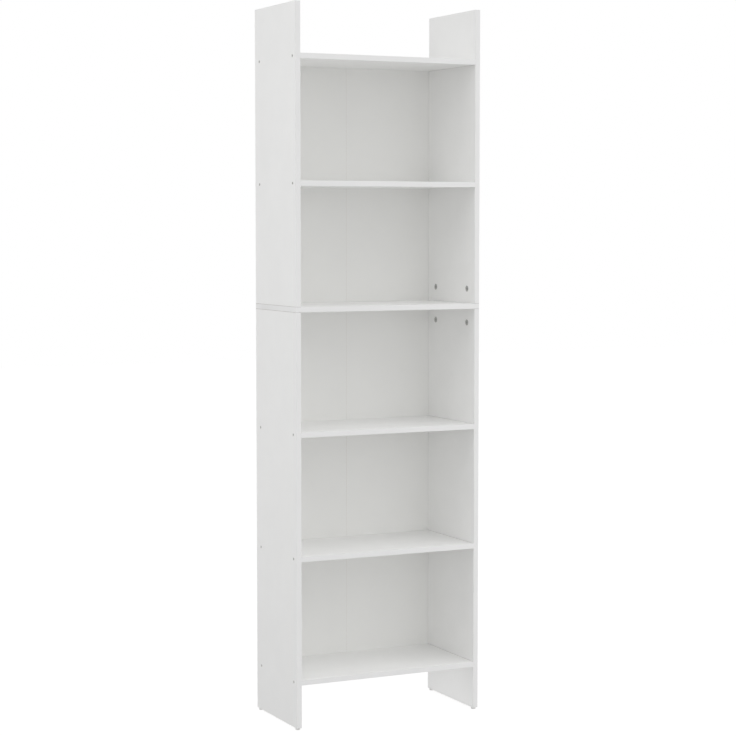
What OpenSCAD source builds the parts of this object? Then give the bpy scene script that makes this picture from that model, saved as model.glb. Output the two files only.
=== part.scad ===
// Tall open bookcase in white melamine-faced board: six fixed shelves, five equal bays.
// Each side is two boards. The middle shelf runs through between them, and double-ended
// bolts and cam locks clamp the upper and lower halves onto it.
// Millimetres. +X is right, +Y is back, +Z is up. The origin is on the floor, at the
// middle of the width and of the overall depth.

/* [Overall size] */
// Width over the two sides
overall_w = 500; // [400:10:600]
// Depth of the sides and the shelves, without the back panel
side_depth = 247; // [220:1:320]
// Thickness of every board
board_t = 13; // [12:1:18]

/* [Shelves] */
// Clear height of each of the five bays
bay_h = 289; // [240:1:320]
// Height of the sides below the bottom shelf
leg_h = 105; // [60:1:160]
// Height of the sides above the top shelf
ear_h = 122; // [40:1:160]

/* [Edge bands] */
// Thickness of the white edge bands
band_t = 0.4; // [0.3:0.1:1]
// Width of the small chamfer along the edge bands
band_chamfer = 0.2; // [0.1:0.05:0.25]
// Depth of the eased edges where the side boards meet the middle shelf
seam_ease = 0.3; // [0.1:0.1:0.4]

/* [Back panel] */
// Thickness of the hardboard leaves
leaf_t = 2.5; // [2:0.5:3]
// How far the leaves stop short of the outline of the carcass
leaf_inset = 2; // [1:0.5:3]
// Gap between two leaves at the fold, and between the upper and lower pair
leaf_gap = 0.15; // [0.1:0.05:1]
// Width of the tape that hinges two leaves
tape_w = 30; // [20:1:40]

/* [Shelf screws] */
// Distance from the front edge to the front screws
screw_front = 18; // [12:1:40]
// Distance from the rear edge to the rear screws
screw_rear = 27; // [24:1:45]
// Length of a screw
screw_l = 40; // [35:1:50]
// Diameter over the thread
screw_d = 5; // [4:0.5:6]
// Diameter of the countersunk head
screw_head_d = 7; // [6.5:0.5:8]

/* [Cam locks] */
// Distance from the end of the side board to a cam lock
cam_end = 36; // [34:1:45]
// Distance from the front and rear edges to a cam lock
cam_edge = 40; // [38:1:60]

/* [Glides] */
// Height of a nail-on glide
glide_h = 5; // [4:0.5:8]
// Diameter of a glide
glide_d = 12; // [10:0.5:12]
// Distance from the front and rear edges to a glide
glide_edge = 10; // [8:1:30]

/* [Hidden] */
$fn = 48;

LEFT = -1;
RIGHT = 1;
LOWER = -1;
UPPER = 1;
FRONT = -1;
REAR = 1;
SIDES = [LEFT, RIGHT];
ENDS = [FRONT, REAR];
cut = 1;          // how far a cutting solid runs past a face
fit = 0.02;       // clearance of a nail, dowel or thread in its hole, and between two bands

// Heights. Shelf 0 is the bottom shelf and shelf 5 the top one.
BOTTOM = 0;
MIDDLE = 3;
TOP = 5;
lower_shelves = [0, 1, 2];
upper_shelves = [4, 5];
pitch = bay_h + board_t;
function shelf_z(k) = glide_h + leg_h + k * pitch;
function shelf_mid_z(k) = shelf_z(k) + board_t / 2;
split_low = shelf_z(MIDDLE);
split_high = split_low + board_t;
split_mid = shelf_mid_z(MIDDLE);
side_top = shelf_z(TOP) + board_t + ear_h;

// Back panel nails, which also set the overall depth
nail_d = 1.4;
nail_l = 20;
nail_head_d = 4;
nail_head_t = 0.5;
overall_d = side_depth + leaf_t + nail_head_t;

// Planes across the depth
front_y = -overall_d / 2;
board_front_y = front_y + band_t;
rear_y = front_y + side_depth;
leaf_rear_y = rear_y + leaf_t;

// Planes across the width, measured outwards from the middle
inner_x = overall_w / 2 - board_t;
mid_x = overall_w / 2 - board_t / 2;
function side_y(end, edge) = end == FRONT ? front_y + edge : rear_y - edge;

// Shelf screws
screw_sink = 0.2;
screw_head_h = 2.6;
screw_core_d = 3.6;
screw_neck_d = 4.4;
screw_pitch = 2.4;
screw_socket = 3;
screw_socket_h = 2.2;
screw_hole_d = screw_d + 2 * fit;

// Cam locks: a bolt's ball head sits in an eccentric pocket behind a slotted wall
cam_bore_d = 15;
cam_clear = 0.075;
cam_d = cam_bore_d - 2 * cam_clear;
cam_sink = 0.2;
cam_pocket_h = 5.8;
cam_pocket_r = 6;
cam_pocket_shift = 0.35;
cam_floor = 0.6;
cam_h = board_t / 2 + cam_pocket_h / 2 + cam_floor;
cam_slot_h = 3.4;
cam_slot_past = 18;
cam_turn = 180;
cam_mouth_margin = 25;
cam_mouth_d = 5.8;
cam_cross_l = 7;
cam_cross_t = 1.3;
cam_cross_h = 2.3;
cam_arrow_h = 0.3;
cam_arrow_r = 5.9;

// Double-ended bolts
ball_d = 5.4;
ball_reach = 2.9;
bolt_neck_d = 3;
bolt_d = 6.6;
bolt_hole_d = 7;
bolt_stop = cam_bore_d / 2 + 1.2;
bolt_half_l = board_t / 2 + cam_end;

// Dowels beside the bolts, one step of the 32 mm grid further in
dowel_d = 6;
dowel_l = 48;
dowel_edge = cam_edge + 32;
dowel_flutes = 8;
dowel_chamfer = 0.8;
dowel_hole_over = 1;

// Glide nails
glide_round = 1.4;
glide_seat_d = 5;
glide_seat_h = 2;
glide_nail_d = 2;
glide_nail_l = 18;
glide_nail_head_d = 4.4;
glide_nail_head_t = 0.8;

// Nail places on the back panel
side_nails_lower = 8;
side_nails_upper = 6;
side_nail_margin = 24;
middle_nail_off = 3.4;
shelf_nail_xs = [62, 168];
leaf_low_z = shelf_z(BOTTOM) + leaf_inset;
leaf_high_z = shelf_z(TOP) + board_t - leaf_inset;
leaf_outer_x = overall_w / 2 - leaf_inset;
tape_t = 0.2;
tape_margin = 2;

function spread(low, high, count, margin) =
    [for (i = [0 : count - 1]) low + margin + i * (high - low - 2 * margin) / (count - 1)];

side_nail_zs_lower = spread(leaf_low_z, split_mid, side_nails_lower, side_nail_margin);
side_nail_zs_upper = spread(split_mid, leaf_high_z, side_nails_upper, side_nail_margin);
shelf_nail_zs_lower = concat([for (k = lower_shelves) shelf_mid_z(k)], split_mid - middle_nail_off);
shelf_nail_zs_upper = concat([for (k = upper_shelves) shelf_mid_z(k)], split_mid + middle_nail_off);

// ---------- placing ----------

// A box from its lowest to its highest corner
module box(low, high) {
    translate(low) cube(high - low);
}

// Puts a shape drawn along +Z so that it runs inwards from the outer or inner face of a side
module inwards(side, x, y, z) {
    translate([side * x, y, z]) rotate([0, -side * 90, 0]) children();
}

// Puts a shape drawn along +Z so that it runs forwards from the back
module forwards(x, y, z) {
    translate([x, y, z]) rotate([90, 0, 0]) children();
}

// ---------- fasteners ----------

// Shelf screw along +Z: countersunk head with a hexagon socket, plain neck, ridged thread
module shelf_screw() {
    ridge = (screw_d - screw_core_d) / 2;
    thread_start = board_t + cut;
    tip = 3;
    ridges = floor((screw_l - thread_start - tip) / screw_pitch);
    difference() {
        union() {
            cylinder(d1 = screw_head_d, d2 = screw_neck_d, h = screw_head_h);
            cylinder(d = screw_neck_d, h = thread_start);
            cylinder(d = screw_core_d, h = screw_l - tip);
            translate([0, 0, screw_l - tip]) cylinder(d1 = screw_core_d, d2 = 1, h = tip);
            for (i = [0 : ridges - 1]) {
                translate([0, 0, thread_start + i * screw_pitch]) {
                    cylinder(d1 = screw_core_d, d2 = screw_d, h = ridge);
                    translate([0, 0, ridge]) cylinder(d1 = screw_d, d2 = screw_core_d, h = ridge);
                }
            }
        }
        translate([0, 0, -cut])
            cylinder(d = screw_socket / cos(30), h = screw_socket_h + cut, $fn = 6);
    }
}

// Hole for a shelf screw along +Z from the outer face, through the side and into the shelf
module shelf_screw_hole() {
    head_hole_d = screw_head_d + 0.2;
    translate([0, 0, -cut]) cylinder(d = head_hole_d, h = cut + screw_sink);
    translate([0, 0, screw_sink]) cylinder(d1 = head_hole_d, d2 = screw_hole_d, h = screw_head_h);
    cylinder(d = screw_hole_d, h = screw_l + screw_sink + cut);
}

// Panel nail along +Z: flat head below zero, pointed shank above
module panel_nail() {
    tip = 2;
    translate([0, 0, -nail_head_t]) cylinder(d = nail_head_d, h = nail_head_t);
    cylinder(d = nail_d, h = nail_l - tip);
    translate([0, 0, nail_l - tip]) cylinder(d1 = nail_d, d2 = 0.3, h = tip);
}

module panel_nail_hole() {
    translate([0, 0, -cut]) cylinder(d = nail_d + 2 * fit, h = nail_l + 2 * cut);
}

// Holes for the shelf screws of the listed shelves, in a side board or a shelf
module shelf_screw_holes(side, shelves) {
    for (k = shelves, end = ENDS) {
        edge = end == FRONT ? screw_front : screw_rear;
        inwards(side, overall_w / 2, side_y(end, edge), shelf_mid_z(k)) shelf_screw_hole();
    }
}

module shelf_screws(k) {
    for (side = SIDES, end = ENDS) {
        edge = end == FRONT ? screw_front : screw_rear;
        inwards(side, overall_w / 2 - screw_sink, side_y(end, edge), shelf_mid_z(k)) shelf_screw();
    }
}

// ---------- cam locks and bolts ----------

// Height of a cam lock's axis on the upper or lower side boards
function cam_z(level) = split_mid + level * bolt_half_l;

// Cam lock with its face at z = 0, drawn locked, with its bolt coming from +X. Turning it
// anticlockwise by cam_turn brings the wide mouth round to the bolt and lets the ball out.
module cam_shape() {
    pocket_z = -board_t / 2;
    difference() {
        translate([0, 0, -cam_h]) cylinder(d = cam_d, h = cam_h - cam_sink);
        // eccentric pocket for the ball head
        translate([-cam_pocket_shift, 0, pocket_z])
            cylinder(r = cam_pocket_r, h = cam_pocket_h, center = true);
        // slot for the neck of the bolt
        rotate([0, 0, -cam_turn - cam_mouth_margin])
            rotate_extrude(angle = cam_turn + cam_mouth_margin + cam_slot_past)
                translate([cam_pocket_r - 1, pocket_z - cam_slot_h / 2])
                    square([cam_d / 2 - cam_pocket_r + 2, cam_slot_h]);
        // mouth for the ball head
        translate([0, 0, pocket_z]) rotate([0, -90, 0]) cylinder(d = cam_mouth_d, h = cam_d);
        // cross recess for a screwdriver
        for (turn = [45, 135])
            rotate([0, 0, turn])
                translate([-cam_cross_l / 2, -cam_cross_t / 2, -cam_sink - cam_cross_h])
                    cube([cam_cross_l, cam_cross_t, cam_cross_h + cut]);
        // arrow that shows where the mouth is
        translate([-cam_arrow_r, 0, -cam_sink - cam_arrow_h])
            rotate([0, 0, 180])
                linear_extrude(height = cam_arrow_h + cut)
                    polygon([[0.9, 0], [-0.7, 1.3], [-0.7, -1.3]]);
    }
}

module cam_lock(level, side, end) {
    color("darkgray")
        inwards(side, inner_x, side_y(end, cam_edge), cam_z(level))
            rotate([0, 0, side * level > 0 ? 180 : 0])
                cam_shape();
}

// Half of a double-ended bolt along +Z: shank, neck and ball head
module bolt_half() {
    ball_z = bolt_half_l - ball_reach;
    shank_l = bolt_half_l - bolt_stop;
    chamfer = 0.8;
    cylinder(d = bolt_d, h = shank_l - chamfer);
    translate([0, 0, shank_l - chamfer])
        cylinder(d1 = bolt_d, d2 = bolt_d - 2 * chamfer, h = chamfer);
    cylinder(d = bolt_neck_d, h = ball_z);
    translate([0, 0, ball_z]) sphere(d = ball_d);
}

module cam_bolt(side, end) {
    color("silver")
        translate([side * mid_x, side_y(end, cam_edge), split_mid])
            for (flip = [0, 180]) rotate([flip, 0, 0]) bolt_half();
}

// Holes for the bolts and dowels along one side, through the middle shelf and into both boards
module bolt_and_dowel_holes(side) {
    for (end = ENDS) {
        translate([side * mid_x, side_y(end, cam_edge), split_mid])
            cylinder(d = bolt_hole_d, h = 2 * bolt_half_l, center = true);
        translate([side * mid_x, side_y(end, dowel_edge), split_mid])
            cylinder(d = dowel_d + 2 * fit, h = dowel_l + 2 * dowel_hole_over, center = true);
    }
}

module cam_bores(level, side) {
    for (end = ENDS)
        inwards(side, inner_x + cam_h + cam_sink, side_y(end, cam_edge), cam_z(level))
            cylinder(d = cam_bore_d, h = cam_h + cam_sink + cut);
}

// Fluted dowel along Z with chamfered ends
module dowel() {
    half = dowel_l / 2;
    difference() {
        for (flip = [0, 180])
            rotate([flip, 0, 0]) {
                cylinder(d = dowel_d, h = half - dowel_chamfer);
                translate([0, 0, half - dowel_chamfer])
                    cylinder(d1 = dowel_d, d2 = dowel_d - 2 * dowel_chamfer, h = dowel_chamfer);
            }
        for (i = [0 : dowel_flutes - 1])
            rotate([0, 0, i * 360 / dowel_flutes])
                translate([dowel_d / 2 + 0.15, 0, 0])
                    cylinder(r = 0.4, h = dowel_l + cut, center = true, $fn = 16);
    }
}

module middle_shelf_dowels() {
    color("burlywood")
        for (side = SIDES, end = ENDS)
            translate([side * mid_x, side_y(end, dowel_edge), split_mid]) dowel();
}

// ---------- side boards ----------

// Nail holes along the rear edge of a side board
module side_nail_holes(side, heights) {
    for (z = heights) forwards(side * mid_x, leaf_rear_y, z) panel_nail_hole();
}

// Cutter that eases the outer and front edges of a side where it meets the middle shelf
module seam_cuts(side, z) {
    reach = seam_ease * sqrt(2);
    translate([side * overall_w / 2, 0, z])
        rotate([0, 45, 0]) cube([reach, side_depth + 2 * cut, reach], center = true);
    translate([side * mid_x, front_y, z])
        rotate([45, 0, 0]) cube([board_t + 2 * cut, reach, reach], center = true);
}

module glide_nail_holes(side) {
    for (end = ENDS)
        translate([side * mid_x, side_y(end, glide_edge), 0])
            cylinder(d = glide_nail_d + 2 * fit, h = glide_seat_h + glide_nail_l + cut);
}

module lower_side(side) {
    x_low = min(side * inner_x, side * overall_w / 2);
    color("whitesmoke")
        difference() {
            box([x_low, board_front_y, glide_h], [x_low + board_t, rear_y, split_low]);
            shelf_screw_holes(side, lower_shelves);
            cam_bores(LOWER, side);
            bolt_and_dowel_holes(side);
            side_nail_holes(side, side_nail_zs_lower);
            glide_nail_holes(side);
            seam_cuts(side, split_low);
        }
}

module upper_side(side) {
    x_low = min(side * inner_x, side * overall_w / 2);
    color("whitesmoke")
        difference() {
            box([x_low, board_front_y, split_high], [x_low + board_t, rear_y, side_top - band_t]);
            shelf_screw_holes(side, upper_shelves);
            cam_bores(UPPER, side);
            bolt_and_dowel_holes(side);
            side_nail_holes(side, side_nail_zs_upper);
            seam_cuts(side, split_high);
        }
}

// ---------- shelves ----------

// Nail holes along the rear edge of the shelves
module shelf_nail_holes(heights) {
    for (z = heights, side = SIDES, x = shelf_nail_xs)
        forwards(side * x, leaf_rear_y, z) panel_nail_hole();
}

module fixed_shelf(k) {
    color("white")
        difference() {
            box([-inner_x, board_front_y, shelf_z(k)], [inner_x, rear_y, shelf_z(k) + board_t]);
            for (side = SIDES) shelf_screw_holes(side, [k]);
            shelf_nail_holes([shelf_mid_z(k)]);
        }
}

module middle_shelf() {
    end_x = overall_w / 2 - band_t;
    color("white")
        difference() {
            box([-end_x, board_front_y, split_low], [end_x, rear_y, split_high]);
            for (side = SIDES) bolt_and_dowel_holes(side);
            shelf_nail_holes([split_mid - middle_nail_off, split_mid + middle_nail_off]);
        }
}

// ---------- edge bands ----------

// Flat strip along +Z, board_t wide about X = 0, with its outer face towards -Y
module band_strip(length) {
    half = board_t / 2;
    linear_extrude(height = length)
        polygon([
            [-half, band_t], [-half, band_chamfer], [-half + band_chamfer, 0],
            [half - band_chamfer, 0], [half, band_chamfer], [half, band_t]
        ]);
}

module edge_bands_side(side) {
    color("white")
        difference() {
            union() {
                translate([side * mid_x, front_y, glide_h]) band_strip(split_low - glide_h);
                translate([side * mid_x, front_y, split_high]) band_strip(side_top - split_high);
                translate([side * mid_x, board_front_y + fit, side_top])
                    rotate([-90, 0, 0]) band_strip(rear_y - board_front_y - fit);
            }
            seam_cuts(side, split_low);
            seam_cuts(side, split_high);
        }
}

// Front strip of a shelf, from -half_l to +half_l
module shelf_band(k, half_l) {
    translate([-half_l, front_y, shelf_mid_z(k)]) rotate([0, 90, 0]) band_strip(2 * half_l);
}

module edge_bands_shelves() {
    color("white")
        for (k = concat(lower_shelves, upper_shelves)) shelf_band(k, inner_x);
}

module edge_bands_middle_shelf() {
    color("white") {
        shelf_band(MIDDLE, overall_w / 2);
        for (side = SIDES)
            translate([side * overall_w / 2, side == LEFT ? rear_y : board_front_y + fit, split_mid])
                rotate([0, 0, side * 90])
                    rotate([0, 90, 0])
                        band_strip(rear_y - board_front_y - fit);
    }
}

// ---------- back panel ----------

module back_leaf(level, side) {
    x_low = side == LEFT ? -leaf_outer_x : leaf_gap / 2;
    x_high = side == LEFT ? -leaf_gap / 2 : leaf_outer_x;
    z_low = level == LOWER ? leaf_low_z : split_mid + leaf_gap / 2;
    z_high = level == LOWER ? split_mid - leaf_gap / 2 : leaf_high_z;
    shelf_zs = level == LOWER ? shelf_nail_zs_lower : shelf_nail_zs_upper;
    color("gainsboro")
        difference() {
            box([x_low, rear_y, z_low], [x_high, leaf_rear_y, z_high]);
            side_nail_holes(side, level == LOWER ? side_nail_zs_lower : side_nail_zs_upper);
            shelf_nail_holes(shelf_zs);
        }
}

module fold_tape(z_low, z_high) {
    color("linen")
        box([-tape_w / 2, leaf_rear_y, z_low + tape_margin],
            [tape_w / 2, leaf_rear_y + tape_t, z_high - tape_margin]);
}

module back_nails_sides() {
    color("silver")
        for (side = SIDES, z = concat(side_nail_zs_lower, side_nail_zs_upper))
            forwards(side * mid_x, leaf_rear_y, z) panel_nail();
}

module back_nails_shelves() {
    zs = concat(shelf_nail_zs_lower, shelf_nail_zs_upper);
    color("silver")
        for (z = zs, side = SIDES, x = shelf_nail_xs)
            forwards(side * x, leaf_rear_y, z) panel_nail();
}

// ---------- glides ----------

// Round plastic glide with a rounded rim and a seat for the head of its nail
module glide(side, end) {
    r = glide_d / 2;
    color("gainsboro")
        translate([side * mid_x, side_y(end, glide_edge), 0])
            difference() {
                rotate_extrude() {
                    square([r - glide_round, glide_h]);
                    translate([0, glide_round]) square([r, glide_h - glide_round]);
                    translate([r - glide_round, glide_round]) circle(r = glide_round);
                }
                translate([0, 0, -cut]) cylinder(d = glide_seat_d, h = glide_seat_h + cut);
                cylinder(d = glide_nail_d + 2 * fit, h = glide_h + cut);
            }
}

module glide_nails() {
    tip = 2.5;
    color("silver")
        for (side = SIDES, end = ENDS)
            translate([side * mid_x, side_y(end, glide_edge), glide_seat_h - glide_nail_head_t]) {
                cylinder(d = glide_nail_head_d, h = glide_nail_head_t);
                cylinder(d = glide_nail_d, h = glide_nail_l - tip);
                translate([0, 0, glide_nail_l - tip])
                    cylinder(d1 = glide_nail_d, d2 = 0.4, h = tip);
            }
}

// ---------- nodes ----------

lower_side(LEFT);  // lower_side_left
lower_side(RIGHT);  // lower_side_right
upper_side(LEFT);  // upper_side_left
upper_side(RIGHT);  // upper_side_right

fixed_shelf(BOTTOM);  // bottom_shelf
fixed_shelf(1);  // lower_shelf
fixed_shelf(2);  // lower_middle_shelf
middle_shelf();
fixed_shelf(4);  // upper_shelf
fixed_shelf(TOP);  // top_shelf

back_leaf(LOWER, LEFT);  // back_leaf_lower_left
back_leaf(LOWER, RIGHT);  // back_leaf_lower_right
back_leaf(UPPER, LEFT);  // back_leaf_upper_left
back_leaf(UPPER, RIGHT);  // back_leaf_upper_right
fold_tape(leaf_low_z, split_mid);  // fold_tape_lower
fold_tape(split_mid, leaf_high_z);  // fold_tape_upper

cam_lock(UPPER, LEFT, FRONT);  // cam_upper_left_front
cam_lock(UPPER, LEFT, REAR);  // cam_upper_left_rear
cam_lock(UPPER, RIGHT, FRONT);  // cam_upper_right_front
cam_lock(UPPER, RIGHT, REAR);  // cam_upper_right_rear
cam_lock(LOWER, LEFT, FRONT);  // cam_lower_left_front
cam_lock(LOWER, LEFT, REAR);  // cam_lower_left_rear
cam_lock(LOWER, RIGHT, FRONT);  // cam_lower_right_front
cam_lock(LOWER, RIGHT, REAR);  // cam_lower_right_rear

cam_bolt(LEFT, FRONT);  // cam_bolt_left_front
cam_bolt(LEFT, REAR);  // cam_bolt_left_rear
cam_bolt(RIGHT, FRONT);  // cam_bolt_right_front
cam_bolt(RIGHT, REAR);  // cam_bolt_right_rear
middle_shelf_dowels();

color("silver") shelf_screws(BOTTOM);  // bottom_shelf_screws
color("silver") shelf_screws(1);  // lower_shelf_screws
color("silver") shelf_screws(2);  // lower_middle_shelf_screws
color("silver") shelf_screws(4);  // upper_shelf_screws
color("silver") shelf_screws(TOP);  // top_shelf_screws

glide(LEFT, FRONT);  // glide_front_left
glide(RIGHT, FRONT);  // glide_front_right
glide(LEFT, REAR);  // glide_rear_left
glide(RIGHT, REAR);  // glide_rear_right
glide_nails();

back_nails_sides();
back_nails_shelves();

edge_bands_side(LEFT);  // edge_bands_side_left
edge_bands_side(RIGHT);  // edge_bands_side_right
edge_bands_shelves();
edge_bands_middle_shelf();
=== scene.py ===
"""Looks of the white flat-pack bookcase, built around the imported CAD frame. Metres, +Z up."""

import math

import bpy
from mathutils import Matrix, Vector


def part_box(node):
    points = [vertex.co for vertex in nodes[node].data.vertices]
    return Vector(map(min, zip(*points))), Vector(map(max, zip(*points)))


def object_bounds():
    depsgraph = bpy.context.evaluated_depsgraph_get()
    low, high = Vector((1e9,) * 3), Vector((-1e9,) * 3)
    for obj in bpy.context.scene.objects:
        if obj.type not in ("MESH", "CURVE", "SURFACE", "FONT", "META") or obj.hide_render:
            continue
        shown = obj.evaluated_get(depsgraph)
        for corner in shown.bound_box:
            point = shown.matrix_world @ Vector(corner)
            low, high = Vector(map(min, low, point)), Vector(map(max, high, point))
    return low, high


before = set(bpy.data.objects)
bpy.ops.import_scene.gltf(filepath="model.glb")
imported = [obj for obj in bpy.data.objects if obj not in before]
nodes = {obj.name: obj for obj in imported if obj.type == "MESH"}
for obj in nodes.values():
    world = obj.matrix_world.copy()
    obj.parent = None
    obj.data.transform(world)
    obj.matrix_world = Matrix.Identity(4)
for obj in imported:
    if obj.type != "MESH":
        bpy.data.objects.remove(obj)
cad_low, cad_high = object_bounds()
scene = bpy.context.scene

MM = 0.001

# ---------- where things are, from the frame ----------

SHELVES = [
    "bottom_shelf", "lower_shelf", "lower_middle_shelf",
    "middle_shelf", "upper_shelf", "top_shelf",
]
WIDTH = cad_high.x - cad_low.x
SIDE_LOW, SIDE_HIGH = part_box("lower_side_left")
BOARD_T = SIDE_HIGH.x - SIDE_LOW.x
SIDE_MID_X = WIDTH / 2 - BOARD_T / 2
SIDE_INNER_X = WIDTH / 2 - BOARD_T
MIDDLE_LOW, MIDDLE_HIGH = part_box("middle_shelf")
SEAMS = (MIDDLE_LOW.z, MIDDLE_HIGH.z)
CAM_FACE_X = abs(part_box("cam_upper_right_front")[0].x)
SCREW_FACE_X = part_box("bottom_shelf_screws")[1].x
BAND_JOINT_Y = SIDE_LOW.y
BAND_JOINT_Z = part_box("upper_side_left")[1].z

# ---------- node material helpers ----------

# the span that most of a noise texture's values lie in
NOISE_SPAN = (0.3, 0.7)


class Shader:
    """One node material, with short calls for the nodes that these surfaces need."""

    def __init__(self, name):
        self.material = bpy.data.materials.new(name)
        self.material.use_nodes = True
        self.tree = self.material.node_tree
        self.bsdf = self.tree.nodes["Principled BSDF"]
        self.coords = self.tree.nodes.new("ShaderNodeTexCoord")
        self.position = self.coords.outputs["Object"]
        self.normal = self.coords.outputs["Normal"]

    def new(self, kind, **settings):
        node = self.tree.nodes.new(kind)
        for key, value in settings.items():
            setattr(node, key, value)
        return node

    def link(self, source, target):
        """Connects an output, or sets a constant, on an input socket."""
        if isinstance(source, bpy.types.NodeSocket):
            self.tree.links.new(source, target)
        else:
            target.default_value = source

    def math(self, operation, a, b=0.0):
        node = self.new("ShaderNodeMath", operation=operation)
        self.link(a, node.inputs[0])
        self.link(b, node.inputs[1])
        return node.outputs[0]

    def ramp(self, value, low, high, out_low=0.0, out_high=1.0):
        """Maps value from low..high to out_low..out_high, clamped."""
        node = self.new("ShaderNodeMapRange", clamp=True)
        for socket, x in zip(node.inputs, (value, low, high, out_low, out_high)):
            self.link(x, socket)
        return node.outputs[0]

    def spread(self, noise, out_low=0.0, out_high=1.0):
        """Maps the usual span of a noise to out_low..out_high."""
        return self.ramp(noise, *NOISE_SPAN, out_low, out_high)

    def line(self, distance, kind):
        """How dark a fine line is at a distance from its middle."""
        full, gone, darkness = kind
        return self.ramp(distance, full, gone, darkness, 0.0)

    def nearest(self, value, places):
        """Distance from value to the nearest of a few fixed places."""
        distance = None
        for place in places:
            off = self.math("ABSOLUTE", self.math("SUBTRACT", value, place))
            distance = off if distance is None else self.math("MINIMUM", distance, off)
        return distance

    def split(self, vector):
        node = self.new("ShaderNodeSeparateXYZ")
        self.link(vector, node.inputs[0])
        return node.outputs

    def stretched(self, scale):
        """Object position, scaled along each axis."""
        node = self.new("ShaderNodeMapping")
        self.link(self.position, node.inputs["Vector"])
        self.link(scale, node.inputs["Scale"])
        return node.outputs[0]

    def noise(self, scale, detail=2.0, roughness=0.5, vector=None):
        node = self.new("ShaderNodeTexNoise")
        self.link(vector or self.position, node.inputs["Vector"])
        self.link(scale, node.inputs["Scale"])
        self.link(detail, node.inputs["Detail"])
        self.link(roughness, node.inputs["Roughness"])
        return node.outputs["Fac"]

    def cells(self, scale):
        node = self.new("ShaderNodeTexVoronoi")
        self.link(self.position, node.inputs["Vector"])
        self.link(scale, node.inputs["Scale"])
        return node

    def mix(self, factor, a, b):
        node = self.new("ShaderNodeMix", data_type="RGBA")
        self.link(factor, node.inputs["Factor"])
        self.link(rgba(a), node.inputs[6])
        self.link(rgba(b), node.inputs[7])
        return node.outputs[2]

    def mix_value(self, factor, a, b):
        node = self.new("ShaderNodeMix", data_type="FLOAT")
        self.link(factor, node.inputs["Factor"])
        self.link(a, node.inputs[2])
        self.link(b, node.inputs[3])
        return node.outputs[0]

    def bump(self, height, distance, strength=1.0, below=None):
        node = self.new("ShaderNodeBump")
        self.link(height, node.inputs["Height"])
        self.link(distance, node.inputs["Distance"])
        self.link(strength, node.inputs["Strength"])
        if below is not None:
            self.link(below, node.inputs["Normal"])
        return node.outputs[0]

    def finish(self, color, roughness, normal=None, metallic=0.0, specular=0.5):
        self.link(rgba(color), self.bsdf.inputs["Base Color"])
        self.link(roughness, self.bsdf.inputs["Roughness"])
        self.link(metallic, self.bsdf.inputs["Metallic"])
        self.link(specular, self.bsdf.inputs["Specular IOR Level"])
        if normal is not None:
            self.link(normal, self.bsdf.inputs["Normal"])
        return self.material


def rgba(color):
    """A plain colour with its alpha added. A socket passes through."""
    if isinstance(color, tuple) and len(color) == 3:
        return (*color, 1.0)
    return color


def grey(value, warmth=0.0):
    """Near-white or grey, a little yellow for positive warmth."""
    return (value, value, value * (1 - warmth))


def darker(color, factor):
    return tuple(factor * c for c in color)


# ---------- surfaces ----------

WHITE = grey(0.92, 0.010)
BAND_WHITE = grey(0.80, 0.004)
# painted light: the middle shelf band's ends, lighter than its front
MIDDLE_END_PAINTED_LIGHTER = grey(0.90, 0.006)
LACQUER_WHITE = grey(0.88, 0.022)
LACQUER_DULL = grey(0.865, 0.022)
GLIDE_PALE = grey(0.84, 0.008)
GLIDE_DULL = grey(0.79, 0.008)
CHIP_LIGHT = (0.56, 0.40, 0.24)
CHIP_DARK = (0.26, 0.16, 0.085)
CHIP_GAP = (0.09, 0.055, 0.03)
# near black: painted shade in gaps and inside corners, and the dark of the glue line
SEAM_DARK = (0.05, 0.04, 0.035)
# near-black painted shade for the recesses of metal parts
RECESS_SHADE = (0.06, 0.06, 0.055)
HARDBOARD_BROWN = (0.235, 0.135, 0.070)
HARDBOARD_FIBRE = (0.36, 0.225, 0.125)
TAPE_DARK = (0.70, 0.62, 0.46)
TAPE_PALE = (0.78, 0.71, 0.56)
TAPE_STAIN = (0.60, 0.51, 0.36)
BEECH_DARK = (0.50, 0.33, 0.18)
BEECH_PALE = (0.66, 0.47, 0.29)
ZINC = (0.52, 0.52, 0.51)
BOLT_STEEL = (0.62, 0.62, 0.60)
SCREW_STEEL = (0.66, 0.66, 0.64)
NAIL_STEEL = (0.58, 0.58, 0.57)

# how squarely a surface looks along an axis: not at all below the first, fully above the second
FACE_SHARE = (0.90, 0.96)
BAND_END_SHARE = (0.85, 0.95)

# distance from the middle plane of a board: the coarse core, and where the fine layers start
CHIP_CORE = (3.2 * MM, 4.6 * MM)

# fine dark lines: full up to the first distance, gone from the second, and how dark; all but the glue
# line are painted shade in gaps and inside corners
SHELF_JOINT_SHADE = (0.15 * MM, 0.55 * MM, 0.7)
LEAF_JOINT_SHADE = (0.15 * MM, 0.55 * MM, 0.25)
GLUE_LINE = (0.18 * MM, 0.34 * MM, 0.3)
SHELF_CORNER_SHADE = (0.15 * MM, 0.45 * MM, 0.5)
SEAM_SHADE_ON_RAW_EDGE = (0.3 * MM, 0.5 * MM, 0.42)
SEAM_SHADE_ON_BAND = (0.22 * MM, 0.38 * MM, 0.6)

# depth below a metal face for the painted shade in its recess: none above the first, dark from the
# second, none again further in
RECESS_SHADE_STARTS = (0.12 * MM, 0.5 * MM)
RECESS_SHADE_ENDS = (3.0 * MM, 3.6 * MM)

SCREEN_PITCH = 1.6 * MM


def melamine(sh):
    """White melamine face: faint mottle, fine pearl texture. Returns colour, roughness and height."""
    mottle = sh.noise(scale=14.0, detail=3.0, roughness=0.6)
    color = sh.mix(sh.spread(mottle), WHITE, darker(WHITE, 0.975))
    speck = sh.noise(scale=420.0, detail=2.0, roughness=0.6)
    roughness = sh.spread(speck, 0.40, 0.52)
    pearl = sh.noise(scale=1000.0, detail=2.0, roughness=0.55)
    return color, roughness, pearl


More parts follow.
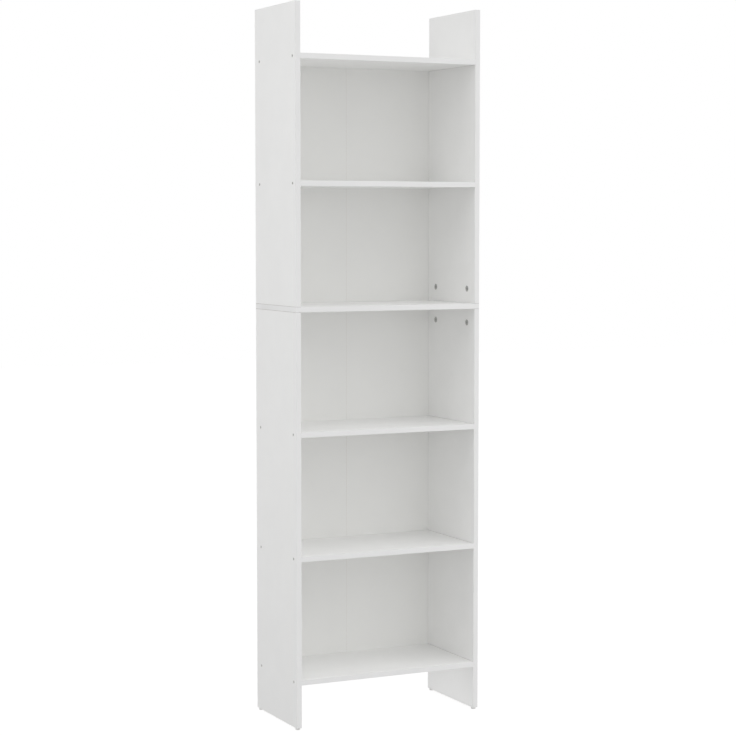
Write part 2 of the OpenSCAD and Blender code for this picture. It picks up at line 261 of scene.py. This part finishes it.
def chipboard(sh, mid_distance):
    """Raw three-layer chipboard: coarse flakes in the core, fine ones near the faces."""
    core = sh.ramp(mid_distance, *CHIP_CORE, 1.0, 0.0)
    coarse = sh.cells(scale=330.0)
    fine = sh.cells(scale=1150.0)
    tone = sh.mix_value(core, fine.outputs["Color"], coarse.outputs["Color"])
    gap = sh.mix_value(core, fine.outputs["Distance"], coarse.outputs["Distance"])
    tint = sh.noise(scale=55.0, detail=3.0, roughness=0.6)
    color = sh.mix(sh.ramp(tone, 0.15, 0.9), CHIP_DARK, CHIP_LIGHT)
    color = sh.mix(sh.ramp(tint, 0.35, 0.7, 0.0, 0.35), color, CHIP_DARK)
    color = sh.mix(sh.ramp(gap, 0.45, 0.75, 0.0, 0.8), color, CHIP_GAP)
    return color, gap


def joint_shade_line(sh, kind):
    """Painted shade: the fine dark line where a board or leaf runs up against the inside of a side
    board.
    """
    off = sh.math("SUBTRACT", SIDE_INNER_X, sh.math("ABSOLUTE", sh.split(sh.position)[0]))
    return sh.line(off, kind)


def glue_line(sh):
    """The fine line of glue between an edge band and the board behind or below it."""
    _, y, z = sh.split(sh.position)
    behind = sh.math("SUBTRACT", y, BAND_JOINT_Y)
    below = sh.math("SUBTRACT", BAND_JOINT_Z, z)
    return sh.line(sh.math("MINIMUM", behind, below), GLUE_LINE)


def shelf_corner_shade(sh):
    """Painted shade: the dark line on the inside of a side board, along the top and underside of each
    shelf.
    """
    x, _, z = sh.split(sh.position)
    inside = sh.math("LESS_THAN", sh.math("ABSOLUTE", x), SIDE_MID_X)
    off = sh.nearest(z, [corner.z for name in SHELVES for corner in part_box(name)])
    return sh.math("MULTIPLY", inside, sh.line(off, SHELF_CORNER_SHADE))


def board_material(name, axis, middles):
    """A board with melamine on the two faces across axis, and raw chipboard everywhere else.

    axis is 0 for the side boards and 2 for the shelves.
    """
    sh = Shader(name)
    facing = sh.math("ABSOLUTE", sh.split(sh.normal)[axis])
    raw = sh.ramp(facing, *FACE_SHARE, 1.0, 0.0)
    face_color, face_rough, pearl = melamine(sh)
    chip_color, chip_gap = chipboard(sh, sh.nearest(sh.split(sh.position)[axis], middles))
    color = sh.mix(raw, face_color, chip_color)
    # painted shade: the raw edges darken along the gaps where the side boards meet the middle shelf
    seam = sh.nearest(sh.split(sh.position)[2], SEAMS)
    shade = sh.math("MULTIPLY", raw, sh.line(seam, SEAM_SHADE_ON_RAW_EDGE))
    color = sh.mix(shade, color, SEAM_DARK)
    if axis == 0:
        color = sh.mix(glue_line(sh), color, SEAM_DARK)
        # painted shade in the inside corners along each shelf
        color = sh.mix(shelf_corner_shade(sh), color, SEAM_DARK)
    else:
        # painted shade where the shelf's faces run into the side boards
        color = sh.mix(joint_shade_line(sh, SHELF_JOINT_SHADE), color, SEAM_DARK)
    roughness = sh.mix_value(raw, face_rough, 0.85)
    face_normal = sh.bump(pearl, distance=0.05 * MM, strength=0.6)
    height = sh.math("MULTIPLY", sh.math("SUBTRACT", 1.0, chip_gap), raw)
    normal = sh.bump(height, distance=0.35 * MM, strength=0.8, below=face_normal)
    return sh.finish(color, roughness, normal)


def edge_band_material(name, front, end):
    """White edge band with faint lines along it, and painted shade in the gap where two boards meet
    end to end.

    front is its colour on the front and top, and end its colour where it faces sideways; a lighter
    end is painted light by which way the band faces.
    """
    sh = Shader(name)
    mottle = sh.spread(sh.noise(scale=9.0))
    across = sh.math("ABSOLUTE", sh.split(sh.normal)[0])
    # painted light: the tone changes with which way the band faces, where front and end differ
    sideways = sh.ramp(across, *BAND_END_SHARE)
    base = sh.mix(sideways, front, end)
    color = sh.mix(sh.math("MULTIPLY", mottle, 0.6), base, darker(front, 0.95))
    x, _, z = sh.split(sh.position)
    blend = 0.1 * MM
    outer = sh.ramp(sh.math("ABSOLUTE", x), SIDE_INNER_X - blend, SIDE_INNER_X + blend)
    # painted shade in the gap at the middle shelf, on the outer part of the band
    seam = sh.line(sh.nearest(z, SEAMS), SEAM_SHADE_ON_BAND)
    color = sh.mix(sh.math("MULTIPLY", outer, seam), color, SEAM_DARK)
    lines = sh.noise(scale=900.0, detail=2.0, roughness=0.6)
    roughness = sh.spread(lines, 0.34, 0.44)
    return sh.finish(color, roughness, sh.bump(lines, distance=0.02 * MM, strength=0.3))


def hardboard_material():
    """Hardboard leaf: white lacquer in front, bare brown fibre behind and on the edges."""
    sh = Shader("hardboard")
    forward = sh.math("MULTIPLY", sh.split(sh.normal)[1], -1.0)
    lacquer = sh.ramp(forward, *FACE_SHARE)
    mottle = sh.noise(scale=10.0, detail=3.0, roughness=0.6)
    white = sh.mix(sh.spread(mottle), LACQUER_WHITE, LACQUER_DULL)
    # painted shade where the leaf runs in behind the side boards
    white = sh.mix(joint_shade_line(sh, LEAF_JOINT_SHADE), white, SEAM_DARK)
    along = sh.stretched((1.0, 1.0, 0.45))
    fibre = sh.noise(scale=260.0, detail=5.0, roughness=0.75, vector=along)
    blotch = sh.noise(scale=7.0, detail=4.0, roughness=0.6)
    brown = sh.mix(sh.ramp(fibre, 0.32, 0.68), HARDBOARD_BROWN, HARDBOARD_FIBRE)
    brown = sh.mix(sh.ramp(blotch, 0.35, 0.7, 0.0, 0.3), brown, HARDBOARD_BROWN)
    x, _, z = sh.split(sh.position)
    mesh_x, mesh_z = (sh.math("SINE", sh.math("MULTIPLY", place, 2 * math.pi / SCREEN_PITCH))
                      for place in (x, z))
    screen = sh.math("MULTIPLY", mesh_x, mesh_z)
    rear_height = sh.math("ADD", sh.math("MULTIPLY", screen, 0.7), fibre)
    color = sh.mix(lacquer, brown, white)
    roughness = sh.mix_value(lacquer, 0.78, 0.48)
    peel = sh.noise(scale=600.0)
    height = sh.mix_value(lacquer, rear_height, sh.math("MULTIPLY", peel, 0.2))
    return sh.finish(color, roughness, sh.bump(height, distance=0.12 * MM, strength=0.5))


def tape_material():
    """Cream paper tape with fine fibres along it and faint stains."""
    sh = Shader("paper_tape")
    along = sh.stretched((1.0, 1.0, 0.2))
    fibre = sh.noise(scale=500.0, detail=4.0, roughness=0.7, vector=along)
    blotch = sh.noise(scale=30.0, detail=3.0, roughness=0.6)
    color = sh.mix(sh.spread(fibre), TAPE_DARK, TAPE_PALE)
    color = sh.mix(sh.ramp(blotch, 0.4, 0.7, 0.0, 0.25), color, TAPE_STAIN)
    return sh.finish(color, 0.7, sh.bump(fibre, distance=0.05 * MM, strength=0.5))


def metal_material(name, color, roughness, grain_scale, grain_depth, face_x=None):
    """Plain metal with fine grain and small patches of dullness.

    With face_x, the recess behind the face at that distance from the middle is painted dark as shade.
    """
    sh = Shader(name)
    grain = sh.noise(scale=grain_scale, detail=3.0, roughness=0.6)
    patch = sh.noise(scale=grain_scale / 8, detail=3.0, roughness=0.6)
    tone = sh.mix(sh.ramp(patch, 0.35, 0.7), color, darker(color, 0.78))
    # painted shade in the recess behind the face, for the cams and screws
    if face_x is not None:
        depth = sh.nearest(sh.math("ABSOLUTE", sh.split(sh.position)[0]), [face_x])
        shallow = sh.ramp(depth, *RECESS_SHADE_STARTS)
        behind = sh.math("MULTIPLY", shallow, sh.ramp(depth, *RECESS_SHADE_ENDS, 1.0, 0.0))
        tone = sh.mix(behind, tone, RECESS_SHADE)
    rough = sh.spread(grain, roughness - 0.07, roughness + 0.09)
    normal = sh.bump(grain, distance=grain_depth, strength=0.5)
    return sh.finish(tone, rough, normal, metallic=1.0)


def beech_material():
    """Beech dowel: pale wood with streaks along its length."""
    sh = Shader("beech")
    along = sh.stretched((1.0, 1.0, 0.06))
    streak = sh.noise(scale=700.0, detail=4.0, roughness=0.65, vector=along)
    color = sh.mix(sh.spread(streak), BEECH_DARK, BEECH_PALE)
    return sh.finish(color, 0.6, sh.bump(streak, distance=0.05 * MM, strength=0.6))


def glide_material():
    """Pale grey moulded plastic with a fine spark-eroded texture."""
    sh = Shader("glide_plastic")
    spark = sh.noise(scale=2600.0, detail=2.0, roughness=0.6)
    mottle = sh.noise(scale=160.0)
    color = sh.mix(sh.spread(mottle), GLIDE_PALE, GLIDE_DULL)
    roughness = sh.spread(spark, 0.42, 0.58)
    return sh.finish(color, roughness, sh.bump(spark, distance=0.03 * MM, strength=0.4))


def floor_material():
    """Pale studio floor: mostly its own light, and just enough diffuse to take a faint shadow."""
    sh = Shader("pale_floor")
    sh.finish(grey(0.12), 0.9, specular=0.0)
    sh.link((1.0, 1.0, 1.0, 1.0), sh.bsdf.inputs["Emission Color"])
    sh.link(FLOOR_GLOW, sh.bsdf.inputs["Emission Strength"])
    return sh.material


# ---------- giving each CAD node its surface ----------

def dress(names, material):
    for name in names:
        data = nodes[name].data
        data.materials.clear()
        data.materials.append(material)


def matching(*starts):
    return [name for name in nodes if name.startswith(starts)]


def dress_all():
    shelf_middles = [sum(corner.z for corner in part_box(name)) / 2 for name in SHELVES]
    side_material = board_material("side_board", 0, [-SIDE_MID_X, SIDE_MID_X])
    dress(matching("lower_side", "upper_side"), side_material)
    dress(SHELVES, board_material("shelf_board", 2, shelf_middles))
    plain_band = edge_band_material("edge_band", BAND_WHITE, BAND_WHITE)
    dress(matching("edge_bands_side", "edge_bands_shelves"), plain_band)
    middle_band = edge_band_material("middle_shelf_band", BAND_WHITE, MIDDLE_END_PAINTED_LIGHTER)
    dress(["edge_bands_middle_shelf"], middle_band)
    dress(matching("back_leaf"), hardboard_material())
    dress(matching("fold_tape"), tape_material())
    zinc = metal_material("zinc_casting", ZINC, 0.46, 1500.0, 0.05 * MM, CAM_FACE_X)
    dress([n for n in matching("cam_") if "bolt" not in n], zinc)
    dress(matching("cam_bolt"), metal_material("bolt_steel", BOLT_STEEL, 0.32, 2200.0, 0.01 * MM))
    screw = metal_material("screw_steel", SCREW_STEEL, 0.34, 2200.0, 0.01 * MM, SCREW_FACE_X)
    dress([n for n in nodes if n.endswith("_screws")], screw)
    nail = metal_material("nail_steel", NAIL_STEEL, 0.36, 2400.0, 0.01 * MM)
    dress([n for n in nodes if "nails" in n], nail)
    dress(["middle_shelf_dowels"], beech_material())
    dress([n for n in matching("glide_") if n != "glide_nails"], glide_material())


# ---------- studio ----------

FLOOR_HALF = 12.0
FLOOR_GLOW = 0.93
VIEW_GAMMA = 1.15
# even light from above and from below the horizon
SKY_UP = 0.635
SKY_LOW = 0.138
# added light from one side: towards, strength, sharpness
SKY_LOBES = [
    ((0.0, -1.0, 1.0), 1.09, 24.0),
    ((0.5, -0.85, 1.0), 0.87, 24.0),
    ((0.0, -1.0, -1.0), 0.60, 2.0),
    ((0.5, 0.85, 0.3), 0.36, 2.0),
]
# name, place, aimed at, size, power
LIGHTS = [
    ("left_softbox", (-2.2, 0.2, 1.05), (-0.25, 0.0, 1.0), (1.0, 1.0), 6.3),
    ("left_high_softbox", (-1.8, -0.6, 2.4), (-0.25, 0.0, 1.5), (1.2, 1.2), 7.5),
    ("front_left_softbox", (-2.185, -2.605, 1.2), (0.0, 0.0, 1.0), (1.2, 1.2), 4.8),
    ("front_high_softbox", (1.2, -3.2, 2.6), (0.0, 0.0, 1.0), (1.2, 1.2), 1.2),
    ("right_softbox", (2.4, -1.2, 1.2), (0.0, 0.0, 1.0), (1.4, 1.4), 18.7),
    ("floor_bounce", (0.0, 0.0, 0.002), (0.0, 0.0, 1.0), (0.46, 0.24), 0.154),
]


def make_floor():
    """A large flat floor under the glides."""
    half = FLOOR_HALF
    mesh = bpy.data.meshes.new("floor")
    corners = [(-half, -half, 0), (half, -half, 0), (half, half, 0), (-half, half, 0)]
    mesh.from_pydata(corners, [], [(0, 1, 2, 3)])
    floor = bpy.data.objects.new("floor", mesh)
    scene.collection.objects.link(floor)
    mesh.materials.append(floor_material())
    floor.visible_diffuse = False
    floor.visible_shadow = False


def make_world():
    """A white backdrop for the camera. What lights the object differs by direction."""
    world = bpy.data.worlds.new("studio")
    world.use_nodes = True
    tree = world.node_tree
    link = tree.links.new
    direction = tree.nodes.new("ShaderNodeTexCoord").outputs["Generated"]

    def math_node(operation, a, b):
        node = tree.nodes.new("ShaderNodeMath")
        node.operation = operation
        for value, socket in ((a, node.inputs[0]), (b, node.inputs[1])):
            if isinstance(value, bpy.types.NodeSocket):
                link(value, socket)
            else:
                socket.default_value = value
        return node.outputs[0]

    def facing(towards):
        """How far a ray points towards one side: 1 straight at it, 0 from a quarter turn on."""
        node = tree.nodes.new("ShaderNodeVectorMath")
        node.operation = "DOT_PRODUCT"
        link(direction, node.inputs[0])
        node.inputs[1].default_value = Vector(towards).normalized()
        return math_node("MAXIMUM", node.outputs["Value"], 0.0)

    above = math_node("GREATER_THAN", facing((0.0, 0.0, 1.0)), 0.0)
    total = math_node("ADD", math_node("MULTIPLY", above, SKY_UP - SKY_LOW), SKY_LOW)
    for towards, strength, sharpness in SKY_LOBES:
        lobe = math_node("POWER", facing(towards), sharpness)
        total = math_node("ADD", total, math_node("MULTIPLY", lobe, strength))
    seen = tree.nodes.new("ShaderNodeMix")
    link(tree.nodes.new("ShaderNodeLightPath").outputs["Is Camera Ray"], seen.inputs["Factor"])
    link(total, seen.inputs[2])
    seen.inputs[3].default_value = 1.0
    background = tree.nodes["Background"]
    background.inputs["Color"].default_value = (1.0, 1.0, 1.0, 1.0)
    link(seen.outputs[0], background.inputs["Strength"])
    scene.world = world


def area_light(name, place, target, size, power):
    """A softbox that lights the object but doesn't show to the camera."""
    light = bpy.data.lights.new(name, "AREA")
    light.shape = "RECTANGLE"
    light.size, light.size_y = size
    light.energy = power
    obj = bpy.data.objects.new(name, light)
    scene.collection.objects.link(obj)
    obj.location = place
    obj.visible_camera = False
    obj.rotation_euler = (Vector(target) - Vector(place)).to_track_quat("-Z", "Y").to_euler()


# ---------- camera ----------

CAMERA_PLACE = (-2.2005, -4.5346, 1.2327)
CAMERA_YAW = math.radians(25.908)
CAMERA_PITCH = math.radians(-4.149)
CAMERA_LENS = 98.64
SENSOR = 36.0


def make_camera():
    data = bpy.data.cameras.new("camera")
    data.sensor_width = SENSOR
    data.lens = CAMERA_LENS
    camera = bpy.data.objects.new("camera", data)
    scene.collection.objects.link(camera)
    camera.location = CAMERA_PLACE
    camera.rotation_euler = (math.pi / 2 + CAMERA_PITCH, 0.0, -CAMERA_YAW)
    scene.camera = camera


make_camera()
dress_all()
make_floor()
make_world()
for light in LIGHTS:
    area_light(*light)
scene.view_settings.view_transform = "Standard"
scene.view_settings.look = "None"
scene.view_settings.gamma = VIEW_GAMMA
